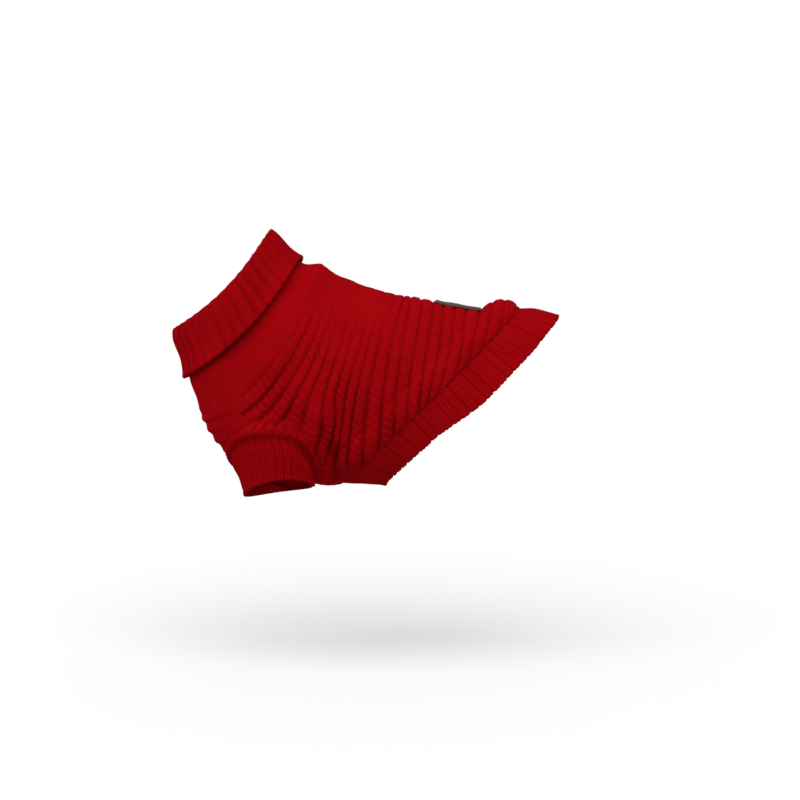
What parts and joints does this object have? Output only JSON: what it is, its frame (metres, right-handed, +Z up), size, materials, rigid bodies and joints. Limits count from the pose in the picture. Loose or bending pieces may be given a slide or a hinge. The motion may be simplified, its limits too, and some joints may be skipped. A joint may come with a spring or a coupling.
{
  "type": "dog sweater",
  "caption": "Cable-knit dog sweater in its hollow worn form, with a turned-down ribbed collar, ribbed leg cuffs, a slanted ribbed hem band and a bare leather label on the back",
  "frame": {"origin": "on the inner face of the back at the withers, where the wearer's back carries the sweater", "axes": "+X from neck to tail, +Y to the wearer's right side, +Z up"},
  "size_m": [0.3691, 0.154, 0.2517],
  "materials": {
    "cable_knit": "soft matte acrylic yarn, rope-like cable ridges around the body",
    "rib_knit": "soft matte acrylic yarn, ribbed",
    "label_leather": "dark brown leather, satin, bare"
  },
  "bodies": {
    "root": {"back_panel": "cable_knit", "belly_panel": "cable_knit", "collar": "rib_knit", "hem_band": "rib_knit", "cuff_left": "rib_knit", "cuff_right": "rib_knit", "label": "label_leather"}
  },
  "joints": []
}
